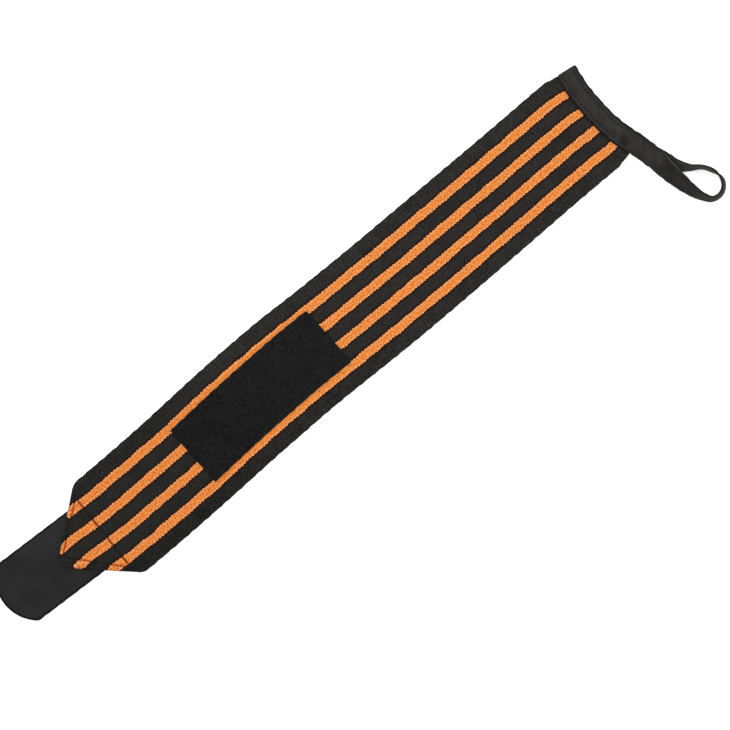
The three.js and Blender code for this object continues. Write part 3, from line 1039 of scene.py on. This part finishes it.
def woven_band(look):
    """The elastic band with its folded point, as one closed cloth."""
    step = look.rib_pitch / STEPS_PER_RIB
    tip = TIP_CENTRE[0] - TIP_RADIUS * np.cos(TIP_ANGLES)
    stations = np.r_[tip, np.arange(tip[-1] + step, BAND_END - step / 2, step), BAND_END]
    low = band_edge(stations, -1) - selvedge(stations, -1, look)
    high = band_edge(stations, 1) + selvedge(stations, 1, look)
    radii = []
    for edge, side in ((low, -1), (high, 1)):
        cover = flap_cover(stations, edge - side * EDGE_INSET)
        thickness = BAND_THICKNESS + cover * (LAYER_GAP + FLAP_THICKNESS)
        radii.append(np.minimum(thickness / 2, (high - low) / 4))
    across, rise, top_count = cloth_ring(low, high, *radii, BAND_COLUMNS, BAND_BACK_COLUMNS)
    x = np.broadcast_to(stations[:, None], across.shape)
    upper, lower = band_faces(x, across, look)
    z = (upper + lower) / 2 + rise * (upper - lower) / 2
    is_top = np.broadcast_to(np.arange(across.shape[1]) < top_count, across.shape)
    weave = np.stack(weave_place(x, across, is_top, look), axis=-1)
    places = np.stack([x, across, z], axis=-1)
    tape_edge = np.interp(across, END_TAPE_Y[::-1], END_TAPE_X[::-1]) - TAPE_WIDTH / 2
    distances = {
        "FoldDepth": fold_place(x, across)[0],
        "FoldSeam": inside_seam(x, across),
        "CrossSeam": past_cross_seam(x, across),
        "TapeGap": tape_edge - x,
    }
    in_millimetres = {name: distance / MM for name, distance in distances.items()}
    return closed_cloth(
        "woven_band", places, weave, rise, top_count, strips=3, back_scale=0.5, **in_millimetres)


def end_rounding(stations, radius):
    """Stations with extra ones near both ends, and how thick the cloth is there, from its rounded ends."""
    angles = np.linspace(END_FIRST_ANGLE, np.pi / 2, EDGE_STEPS + 1)
    inset = radius * (1 - np.cos(angles))
    inner = stations[(stations > stations[0] + radius) & (stations < stations[-1] - radius)]
    rounded = np.r_[stations[0] + inset, inner, stations[-1] - inset[::-1]]
    thick = np.r_[np.sin(angles), np.ones(len(inner)), np.sin(angles[::-1])]
    return rounded, thick


def tab_half_width(along):
    """Half the hook tab's width, at a distance from its inner end."""
    from_centre = along - (TAB_LENGTH - TAB_END_RADIUS)
    arc = np.sqrt(np.maximum(TAB_END_RADIUS**2 - np.maximum(from_centre, 0) ** 2, 0))
    return np.minimum(arc, TAB_WIDTH / 2)


def tab_place(along, across, z):
    """A place on the tab in the wrap's frame, from its distance along the tab and across it."""
    x, y = -along, across
    turned_x = x * math.cos(TAB_SKEW) - y * math.sin(TAB_SKEW)
    turned_y = x * math.sin(TAB_SKEW) + y * math.cos(TAB_SKEW)
    return np.stack([TAB_INNER_END[0] + turned_x, TAB_INNER_END[1] + turned_y, z], axis=-1)


def hook_tab_cloth(look):
    """The hook tab's woven back, from its round end to its inner end."""
    round_end = TAB_LENGTH - TAB_END_RADIUS + TAB_END_RADIUS * np.cos(TAB_END_ANGLES)
    along = np.r_[round_end, np.arange(round_end[-1] - PLAIN_STEP, PLAIN_STEP / 2, -PLAIN_STEP), 0]
    half = tab_half_width(along)
    radius = np.minimum(look.cloth_thickness / 2, half / 2)
    columns = int(TAB_WIDTH / PLAIN_STEP)
    across, rise, top_count = cloth_ring(-half, half, radius, radius, columns, columns)
    along = np.broadcast_to(along[:, None], across.shape)
    z = TAB_THICKNESS - look.cloth_thickness / 2 * (1 - rise)
    weave = np.stack([-along, across], axis=-1)
    wander = selvedge_wander(along, np.sign(across)) * np.abs(across) / (TAB_WIDTH / 2) * look.edge_wave
    places = tab_place(along, across + np.sign(across) * wander, z)
    past_centre = np.maximum(along - (TAB_LENGTH - TAB_END_RADIUS), 0)
    border = np.minimum(TAB_WIDTH / 2 - np.abs(across), TAB_END_RADIUS - np.hypot(past_centre, across))
    return closed_cloth(
        "hook_tab_cloth", places, weave, rise, top_count, strips=2, back_scale=0.5, Border=border / MM)


def patch_middle(x):
    """Where the patch's middle line lies across."""
    share = (x - PATCH_FROM) / (PATCH_TO - PATCH_FROM)
    return band_middle(x) + PATCH_OFFSETS[0] + (PATCH_OFFSETS[1] - PATCH_OFFSETS[0]) * share


def loop_patch_backing(look):
    """The loop patch without its pile."""
    high = PATCH_HIGH - look.pile_height
    radius = (high - PATCH_LOW) / 2
    plain = np.arange(PATCH_FROM, PATCH_TO + PLAIN_STEP / 2, PLAIN_STEP)
    plain[-1] = PATCH_TO
    stations, thick = end_rounding(plain, radius)
    middle = patch_middle(stations)
    radii = np.full(len(stations), radius)
    columns = int(PATCH_WIDTH / PLAIN_STEP)
    low, top = middle - PATCH_WIDTH / 2, middle + PATCH_WIDTH / 2
    across, rise, top_count = cloth_ring(low, top, radii, radii, columns, columns)
    rise = rise * thick[:, None]
    x = np.broadcast_to(stations[:, None], across.shape)
    from_middle = across - middle[:, None]
    out_along = (2 * x - PATCH_FROM - PATCH_TO) / (PATCH_TO - PATCH_FROM)
    out_across = from_middle / (PATCH_WIDTH / 2)
    leaning_x = x - PATCH_END_SKEW * from_middle
    wavy_x = leaning_x + out_along * look.edge_wave * selvedge_wander(across, np.sign(out_along))
    wavy_y = across + out_across * look.edge_wave * selvedge_wander(x, np.sign(out_across))
    places = np.stack([wavy_x, wavy_y, (high + PATCH_LOW) / 2 + radius * rise], axis=-1)
    weave = np.stack([x, from_middle], axis=-1)
    return closed_cloth("loop_patch_backing", places, weave, rise, top_count, strips=2, back_scale=0.5)


def tape_frames():
    """Even steps along the tape: distance, place, ways sideways and outward, and pinch."""
    ends = len(END_TAPE_X)
    top_low = END_LIFT + BAND_THICKNESS + LAYER_GAP
    x = np.r_[END_TAPE_X, LOOP_X, (END_TAPE_X + END_TAPE_UNDER)[::-1]]
    y = np.r_[END_TAPE_Y, LOOP_Y, END_TAPE_Y[::-1]]
    low = np.r_[np.full(ends, top_low), LOOP_LOW, np.zeros(ends)]
    tilt = np.radians(np.r_[np.zeros(ends), LOOP_TILT, np.full(ends, 180)])
    pinch = np.r_[np.full(ends, TAPE_PINCH), np.zeros(len(LOOP_X)), np.full(ends, TAPE_PINCH)]
    height = low + (TAPE_WIDTH * np.abs(np.sin(tilt)) + TAPE_THICKNESS * np.abs(np.cos(tilt))) / 2
    rows = np.arange(len(x), dtype=float)
    centres = np.stack([x, y, height], axis=-1)
    fine = np.linspace(0, rows[-1], ROUTE_STEPS * len(rows))
    route = route_through(centres, fine)
    run = run_along(route)
    along = np.linspace(0, run[-1], int(run[-1] / TAPE_STEP))
    at = np.interp(along, run, fine)
    route = route_through(centres, at)
    heading = unit(np.gradient(route, axis=0))
    level = unit(np.cross(UP, heading))
    turn = curve_through(rows, tilt, at)[:, None]
    sideways = np.cos(turn) * level + np.sin(turn) * np.cross(heading, level)
    outward = np.cross(heading, sideways)
    return along, route, sideways, outward, curve_through(rows, pinch, at)


def tape_sink(across, pinch):
    """How far the tape's outer edge is pinched towards the band and its stitch rows are drawn in."""
    rows = sum(np.exp(-(((across - row) / TAPE_ROW_HALF_WIDTH) ** 2)) for row in TAPE_ROWS)
    dent = TAPE_ROW_DENT * rows * pinch / TAPE_PINCH
    return pinch * smooth_step(across / TAPE_WIDTH + 0.5, TAPE_PINCH_FROM, 1) + dent


def thumb_tape(look):
    """The tape across the band's end and round the thumb loop, as one closed cloth."""
    along, route, sideways, outward, pinch = tape_frames()
    from_end = np.minimum(np.minimum(along, along[-1] - along), TAPE_CORNER)
    rounded = TAPE_CORNER - np.sqrt(TAPE_CORNER**2 - (TAPE_CORNER - from_end) ** 2)
    half = TAPE_WIDTH / 2 - rounded
    radius = np.full(len(along), TAPE_THICKNESS / 2)
    columns = int(TAPE_WIDTH / TAPE_STEP)
    across, rise, top_count = cloth_ring(-half, half, radius, radius, columns, columns)
    lift = rise * TAPE_THICKNESS / 2 - tape_sink(across, pinch[:, None])
    wander = look.edge_wave * selvedge_wander(along[:, None], np.sign(across)) * across / (TAPE_WIDTH / 2)
    aside = sideways[:, None] * (across + wander)[..., None]
    places = route[:, None] + aside + outward[:, None] * lift[..., None]
    places[..., 2] = np.maximum(places[..., 2], 0)
    weave = np.stack([np.broadcast_to(along[:, None], across.shape), across], axis=-1)
    tape = closed_cloth("thumb_tape", places, weave, rise, top_count, strips=6, back_scale=1.0, Face=rise)
    return tape, along[-1]


# Hooks, pile and stitches


def hook_model(look):
    """One hook that hangs from the tab's lower face: a stem and a bend."""
    stem = TAB_THICKNESS - look.cloth_thickness - look.hook_radius - look.hook_thickness / 2
    bpy.ops.object.select_all(action="DESELECT")
    bpy.ops.mesh.primitive_circle_add(vertices=5, radius=look.hook_thickness / 2)
    with editing():
        bpy.ops.mesh.extrude_region_move(TRANSFORM_OT_translate={"value": (0, 0, -stem)})
        bpy.ops.mesh.spin(steps=5, angle=HOOK_BEND, center=(look.hook_radius, 0, -stem), axis=(0, 1, 0))
        bpy.ops.mesh.select_all(action="SELECT")
        bpy.ops.mesh.remove_doubles(threshold=0.01 * MM)
        bpy.ops.mesh.fill_holes(sides=0)
        bpy.ops.mesh.normals_make_consistent(inside=False)
    return bpy.context.object


def loop_model(look):
    """One upright loop of the pile: the upper part of a ring."""
    bpy.ops.object.select_all(action="DESELECT")
    bpy.ops.mesh.primitive_torus_add(
        major_segments=8, minor_segments=3,
        major_radius=look.loop_radius, minor_radius=look.loop_thickness / 2)
    with editing():
        bpy.ops.transform.rotate(value=math.pi / 2, orient_axis="X", center_override=(0, 0, 0))
        bpy.ops.mesh.bisect(plane_co=(0, 0, 0), plane_no=(0, 0, 1), clear_inner=True)
        bpy.ops.mesh.select_all(action="SELECT")
        bpy.ops.mesh.fill_holes(sides=0)
        bpy.ops.mesh.normals_make_consistent(inside=False)
    return bpy.context.object


def stitch_model(look):
    """One plump stitch along X that dips at both ends."""
    bpy.ops.object.select_all(action="DESELECT")
    bpy.ops.mesh.primitive_uv_sphere_add(segments=8, ring_count=6, radius=0.5)
    with editing():
        bpy.ops.transform.rotate(value=math.pi / 2, orient_axis="Y", center_override=(0, 0, 0))
        size = (look.length, look.thickness, look.thickness)
        bpy.ops.transform.resize(value=size, center_override=(0, 0, 0))
    return bpy.context.object


def staggered_grid(length, width, spacing):
    """Places in staggered rows over a rectangle, along it from 0 and across it about its middle."""
    rows = int(length / spacing)
    columns = int(width / spacing)
    row, column = np.meshgrid(np.arange(rows), np.arange(columns), indexing="ij")
    along = (row + 0.5) * length / rows
    across = (column + 0.5 * (row % 2) + 0.25) * width / columns - width / 2
    return along.ravel(), across.ravel()


def turned_axes(turn, lean=None):
    """Axes turned about Z, and leaned over their own X if that is asked for."""
    cos, sin, none, one = np.cos(turn), np.sin(turn), np.zeros_like(turn), np.ones_like(turn)
    about_z = np.stack([cos, -sin, none, sin, cos, none, none, none, one], axis=-1).reshape(-1, 3, 3)
    if lean is None:
        return about_z
    cos, sin = np.cos(lean), np.sin(lean)
    about_x = np.stack([one, none, none, none, cos, -sin, none, sin, cos], axis=-1).reshape(-1, 3, 3)
    return about_z @ about_x


def tab_hooks(look):
    """The hooks on the tab's lower face, in rows that bend to either side in turn."""
    along, across = staggered_grid(TAB_LENGTH, TAB_WIDTH, look.hook_spacing)
    inner = tab_half_width(along + look.hook_margin) - look.hook_margin
    kept = (np.abs(across) < inner) & (along > look.hook_margin)
    along, across = along[kept], across[kept]
    z = np.full(len(along), TAB_THICKNESS - look.cloth_thickness + ROOT_DEPTH)
    row = np.round(along / look.hook_spacing).astype(int)
    rate_along, rate_across = HOOK_WOBBLE_RATES
    wobble = np.sin(along * rate_along + across * rate_across) * HOOK_WOBBLE
    axes = turned_axes(np.where(row % 2 == 0, 0, np.pi) + TAB_SKEW + wobble)
    return joined_copies("hook_tab_hooks", hook_model(look), tab_place(along, across, z), axes)


def patch_pile(look):
    """The loops of the patch, each turned and leaned its own way."""
    random = np.random.default_rng(RANDOM_SEED)
    margin = look.loop_radius
    length, width = PATCH_TO - PATCH_FROM - 2 * margin, PATCH_WIDTH - 2 * margin
    along, across = staggered_grid(length, width, look.loop_spacing)
    count = len(along)
    scatter = LOOP_SCATTER * look.loop_spacing
    x = PATCH_FROM + margin + along + random.uniform(-scatter, scatter, count)
    across = np.clip(across + random.uniform(-scatter, scatter, count), -width / 2, width / 2)
    x = np.clip(x, PATCH_FROM + margin, PATCH_TO - margin)
    z = np.full(count, PATCH_HIGH - look.pile_height - ROOT_DEPTH)
    axes = turned_axes(random.uniform(0, TAU, count), random.uniform(-LOOP_LEAN, LOOP_LEAN, count))
    axes = axes * random.uniform(*LOOP_SCALES, count)[:, None, None]
    places = np.stack([x - PATCH_END_SKEW * across, patch_middle(x) + across, z], axis=-1)
    return joined_copies("loop_patch_pile", loop_model(look), places, axes)


def stitch_axes(heading, up):
    """Axes of stitches that head some way on a cloth, with the way up from it."""
    side = unit(np.cross(up, heading))
    return np.stack([heading, side, np.cross(heading, side)], axis=-1)


def stitch_row(line, up, look):
    """Places and axes of the stitches along a line of points, with the way up from the cloth."""
    run = run_along(line)
    count = max(int(run[-1] / look.pitch), 1)
    at = (np.arange(count) + 0.5) * run[-1] / count
    quarter = look.pitch / 4
    heading = unit(read_between(at + quarter, run, line) - read_between(at - quarter, run, line))
    ways_up = read_between(at, run, np.broadcast_to(up, line.shape))
    return read_between(at, run, line), stitch_axes(heading, ways_up)


def sew(name, rows, look, shades):
    """One mesh of all the stitches of some rows, in thread of two shades."""
    places, axes = (np.concatenate(part) for part in zip(*rows))
    places[:, 2] = np.maximum(places[:, 2], look.thickness * STITCH_REST)
    piece = joined_copies(name, stitch_model(look), places, axes)
    settle(piece, small_finish(name, *shades, 1.2 * MM, roughness=0.8, gloss=0.15))


def point_rows(band, look):
    """Stitch rows of the point: two along the folds, and one across."""
    share = np.linspace(0, 1, CROSS_SEAM_POINTS)[:, None]
    cross = CROSS_SEAM[0] + share * (CROSS_SEAM[1] - CROSS_SEAM[0])
    for line, lift in ((seam_line(), FOLD_ROW_LIFT), (cross, CROSS_ROW_LIFT)):
        height, _ = band_faces(line[:, 0], line[:, 1], band)
        yield stitch_row(np.column_stack([line, height + lift]), UP, look)


def tape_line(where, across):
    """Places on the tape's outer face, by distance along it and across it, and the ways out from it."""
    along, route, sideways, outward, pinch = tape_frames()
    at, side, out = (read_between(where, along, table) for table in (route, sideways, outward))
    lift = TAPE_THICKNESS / 2 - tape_sink(across, np.interp(where, along, pinch))
    return at + side * np.reshape(across, (-1, 1)) + out * np.reshape(lift, (-1, 1)), out


def tape_stitch_rows(look):
    """Stitch rows along the tape on top and underneath, whose stitches end in the tape's needle holes."""
    length = tape_frames()[0][-1]
    upper_run = TAPE_ROWS_START, TAPE_ROWS_END
    lower_run = length - TAPE_ROWS_END, length - TAPE_ROWS_START
    for first, last in (upper_run, lower_run):
        holes = np.arange(math.ceil(first / look.pitch), math.floor(last / look.pitch) + 1) * look.pitch
        for across in TAPE_ROWS:
            line, up = tape_line(holes, np.full(len(holes), across))
            yield (line[1:] + line[:-1]) / 2, stitch_axes(unit(line[1:] - line[:-1]), up[1:])


def tack_rows(look):
    """The zigzag that tacks the tape down where it leaves the band."""
    turn = np.arange(2 * TACK_TURNS + 1)
    wobble_along, wobble_across = (np.sin(turn * rate) for rate in TACK_WOBBLE_RATES)
    where = TACK_PLACE + (turn / turn[-1] - 0.5) * TACK_LENGTH + wobble_along * TACK_WOBBLE
    across = TACK_OFFSET + TACK_WIDTH / 2 * np.cos(np.pi * turn) * (0.85 + 0.15 * wobble_across)
    line, up = tape_line(where, across)
    yield stitch_row(line, up, look)


def patch_stitch_rows(look):
    """The patch's stitches where they come out under the band."""
    x = np.linspace(PATCH_FROM + PATCH_ROW_MARGIN, PATCH_TO - PATCH_ROW_MARGIN, PATCH_SIDE_POINTS)
    half = PATCH_WIDTH / 2 - PATCH_ROW_MARGIN
    sides = [(x, np.full_like(x, side * half)) for side in (1, -1)]
    across = np.linspace(-half, half, PATCH_END_POINTS)
    ends = [(np.full_like(across, end), across) for end in (x[0], x[-1])]
    for along, out in sides + ends:
        leaning = along - PATCH_END_SKEW * out
        line = np.column_stack([leaning, patch_middle(along) + out, np.zeros_like(along)])
        yield stitch_row(line, -UP, look)


# Operators


class WRAP_OT_stitches(bpy.types.Operator):
    """Sew the stitch rows of the point, the tape and the patch"""

    bl_idname = "wrist_wrap.stitches"
    bl_label = "Stitches"

    def execute(self, context):
        look = context.scene.wrist_wrap
        stitch = look.stitch
        thread = stitch.thread, stitch.thread_high
        tape_thread = look.tape.cloth, look.tape.cloth_low
        sew("point_stitches", point_rows(look.band, stitch), stitch, thread)
        sew("tape_stitches", tape_stitch_rows(stitch), stitch, tape_thread)
        sew("tape_tack", tack_rows(stitch), stitch, (stitch.tack, stitch.tack_high))
        sew("patch_stitches", patch_stitch_rows(stitch), stitch, thread)
        return {"FINISHED"}


class WRAP_OT_woven_band(bpy.types.Operator):
    """Make the striped elastic band with its folded point"""

    bl_idname = "wrist_wrap.woven_band"
    bl_label = "Woven band"

    def execute(self, context):
        look = context.scene.wrist_wrap.band
        band = woven_band(look)
        settle(band, band_finish(look), "elastic_band")
        return {"FINISHED"}


class WRAP_OT_hook_tab(bpy.types.Operator):
    """Make the hook tab: its woven back and its hooks"""

    bl_idname = "wrist_wrap.hook_tab"
    bl_label = "Hook tab"

    def execute(self, context):
        look = context.scene.wrist_wrap.tab
        cloth = hook_tab_cloth(look)
        settle(cloth, tab_finish(look), "hook_tab")
        hooks = tab_hooks(look)
        finish = small_finish("hook_nylon", look.hook, look.cloth_low, 3 * MM, roughness=0.4, gloss=0.5)
        settle(hooks, finish)
        area = TAB_LENGTH * float(np.mean(2 * tab_half_width(np.linspace(0, TAB_LENGTH, 400))))
        return {"FINISHED"}


class WRAP_OT_loop_patch(bpy.types.Operator):
    """Make the loop patch: its backing and its pile"""

    bl_idname = "wrist_wrap.loop_patch"
    bl_label = "Loop patch"

    def execute(self, context):
        look = context.scene.wrist_wrap.patch
        backing = loop_patch_backing(look)
        settle(backing, nap_finish(look), "loop_patch")
        pile = patch_pile(look)
        finish = small_finish(
            "loop_pile", look.nap, look.nap_low, 1.3 * MM, roughness=1.0, gloss=0.08, darker_by_point=0.12)
        settle(pile, finish)
        return {"FINISHED"}


class WRAP_OT_thumb_tape(bpy.types.Operator):
    """Make the tape that crosses the band's end and forms the thumb loop"""

    bl_idname = "wrist_wrap.thumb_tape"
    bl_label = "Thumb tape"

    def execute(self, context):
        look = context.scene.wrist_wrap
        tape, length = thumb_tape(look.tape)
        settle(tape, tape_finish(look.tape, look.stitch, length), "thumb_loop")
        return {"FINISHED"}


class WRAP_OT_stage(bpy.types.Operator):
    """Set up the pale floor, the soft light and the camera straight above"""

    bl_idname = "wrist_wrap.stage"
    bl_label = "Stage"

    def execute(self, context):
        look = context.scene.wrist_wrap.stage
        scene = context.scene
        bpy.ops.object.select_all(action="DESELECT")
        bpy.ops.mesh.primitive_plane_add(size=FLOOR_SIZE, location=(0, 0, -FLOOR_DROP))
        floor = context.object
        floor.name = "floor"
        paint = Finish("pale_floor", roughness=0.9, gloss=0.1)
        paint.feed(paint.shader.inputs["Base Color"], look.floor)
        paint.feed(paint.shader.inputs["Emission Color"], look.floor)
        paint.feed(paint.shader.inputs["Emission Strength"], look.floor_glow)
        floor.data.materials.append(paint.material)
        scene.world = scene.world or bpy.data.worlds.new("studio")
        scene.world.use_nodes = True
        background = scene.world.node_tree.nodes["Background"]
        background.inputs["Color"].default_value = (1, 1, 1, 1)
        background.inputs["Strength"].default_value = look.soft_light
        bpy.ops.object.light_add(type="SUN", location=(0, 0, 1), rotation=KEY_DIRECTION)
        key = context.object.data
        key.energy = look.key_light
        key.angle = KEY_SPREAD
        place = (*PICTURE_CENTRE, look.camera_height)
        bpy.ops.object.camera_add(location=place, rotation=(0, 0, look.camera_turn))
        camera = context.object
        camera.data.sensor_width = SENSOR / MM
        camera.data.lens = SENSOR / MM * look.camera_height / look.frame_width
        camera.data.clip_end = 2 * FLOOR_SIZE
        scene.camera = camera
        scene.view_settings.view_transform = "Standard"
        return {"FINISHED"}


PIECE_OPERATORS = (
    WRAP_OT_stitches,
    WRAP_OT_woven_band,
    WRAP_OT_hook_tab,
    WRAP_OT_loop_patch,
    WRAP_OT_thumb_tape,
    WRAP_OT_stage,
)


class WRAP_PT_sidebar(bpy.types.Panel):
    """The wrist wrap's pieces and settings"""

    bl_idname = "WRAP_PT_sidebar"
    bl_label = "Wrist wrap"
    bl_space_type = "VIEW_3D"
    bl_region_type = "UI"
    bl_category = "Wrist wrap"

    def draw(self, context):
        for operator in PIECE_OPERATORS:
            self.layout.operator(operator.bl_idname)
        look = context.scene.wrist_wrap
        for group in WrapLook.__annotations__:
            column = self.layout.column(heading=group.title())
            for setting in getattr(look, group).__annotations__:
                column.prop(getattr(look, group), setting)


CLASSES = (
    BandLook,
    TabLook,
    PatchLook,
    TapeLook,
    StitchLook,
    StageLook,
    WrapLook,
    *PIECE_OPERATORS,
    WRAP_PT_sidebar,
)


def register():
    """Registers the settings, operators and panel."""
    for item in CLASSES:
        bpy.utils.register_class(item)
    bpy.types.Scene.wrist_wrap = PointerProperty(type=WrapLook)


def unregister():
    """Removes the settings, operators and panel."""
    del bpy.types.Scene.wrist_wrap
    for item in reversed(CLASSES):
        bpy.utils.unregister_class(item)


def main():
    """Registers the settings, then makes every piece and the stage."""
    register()
    bpy.ops.wrist_wrap.stitches()
    bpy.ops.wrist_wrap.woven_band()
    bpy.ops.wrist_wrap.hook_tab()
    bpy.ops.wrist_wrap.loop_patch()
    bpy.ops.wrist_wrap.thumb_tape()
    bpy.ops.wrist_wrap.stage()


if __name__ == "__main__":
    main()
